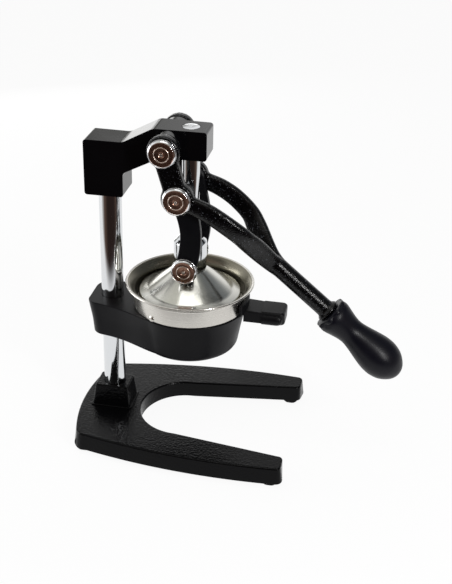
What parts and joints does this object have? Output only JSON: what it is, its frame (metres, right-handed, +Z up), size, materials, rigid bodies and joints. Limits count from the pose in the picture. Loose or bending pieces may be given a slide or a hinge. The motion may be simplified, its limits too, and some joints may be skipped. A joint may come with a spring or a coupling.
{
  "type": "lever citrus juice press",
  "caption": "Cast lever press with a forked handle, toggle links and a sliding ram that drives a cone into a lift-out strainer bowl over a U-shaped foot.",
  "frame": {"origin": "middle of the press's box in plan, at the surface that its feet stand on", "axes": "+Z up, +X from the column through the ram to the lever's grip, +Y to the far side, so that XZ is the mirror plane"},
  "size_m": [0.3364, 0.1848, 0.3382],
  "materials": {
    "black_powder_coat": "smooth glossy black powder coat on cast iron",
    "satin_black_coat": "satin black powder coat on cast metal",
    "hammered_black_coat": "black hammered coat with a fine grain that sparkles",
    "chrome_plate": "bright chrome plate, polished",
    "zinc_steel": "zinc-plated steel, satin",
    "stainless_steel": "stainless steel, finely brushed round its axis",
    "spun_aluminium": "spun and polished, with streaks from centre to rim",
    "black_grip_plastic": "moulded black plastic, satin gloss",
    "black_handle_plastic": "moulded black plastic, matt"
  },
  "bodies": {
    "frame": {"base_casting": "black_powder_coat", "column": "chrome_plate", "column_bolt_washer": "zinc_steel", "column_bolt": "zinc_steel", "head_casting": "black_powder_coat", "head_set_screw": "zinc_steel", "holder_casting": "satin_black_coat", "holder_set_screw": "zinc_steel", "pivot_pin": "zinc_steel", "pivot_washer_near": "chrome_plate", "pivot_washer_far": "chrome_plate", "pivot_cap_near": "chrome_plate", "pivot_cap_far": "chrome_plate"},
    "lever": {"lever_fork": "hammered_black_coat", "grip_stud": "zinc_steel", "lever_grip": "black_grip_plastic", "crank_screw_near": "chrome_plate", "crank_screw_far": "chrome_plate", "crank_washer_near": "chrome_plate", "crank_washer_far": "chrome_plate"},
    "ram": {"ram_rod": "chrome_plate", "ram_crosshead": "chrome_plate", "press_cone": "spun_aluminium", "cone_washer": "zinc_steel", "cone_screw": "zinc_steel", "wrist_screw_near": "chrome_plate", "wrist_screw_far": "chrome_plate", "wrist_washer_near": "chrome_plate", "wrist_washer_far": "chrome_plate"},
    "links": {"link_near": "satin_black_coat", "link_far": "satin_black_coat"},
    "bowl": {"juice_bowl": "stainless_steel", "strainer_cone": "stainless_steel", "handle_strap": "stainless_steel", "bowl_handle": "black_handle_plastic", "handle_screw": "zinc_steel"}
  },
  "joints": [
    {"name": "lever_pivot", "type": "hinge", "parent": "frame", "child": "lever", "pos_m": [-0.06996, 0, 0.322], "axis": [0, -1, 0], "range_deg": [0, 90]},
    {"name": "ram_slide", "type": "slide", "parent": "frame", "child": "ram", "axis": [0, 0, 1], "range_m": [0, 0.06386]},
    {"name": "link_swing", "type": "hinge", "parent": "ram", "child": "links", "pos_m": [-0.05096, 0, 0.1989], "axis": [0, 1, 0], "range_deg": [0, 24.13]},
    {"name": "bowl_swivel", "type": "hinge", "parent": "frame", "child": "bowl", "pos_m": [-0.05096, 0, 0.1512], "axis": [0, 0, 1], "range_deg": [-100, 100]}
  ],
  "couplings": [
    {"joint": "ram_slide", "follows": "lever_pivot", "m_per_rad": 0.040649},
    {"joint": "link_swing", "follows": "lever_pivot", "ratio": 0.26799}
  ]
}
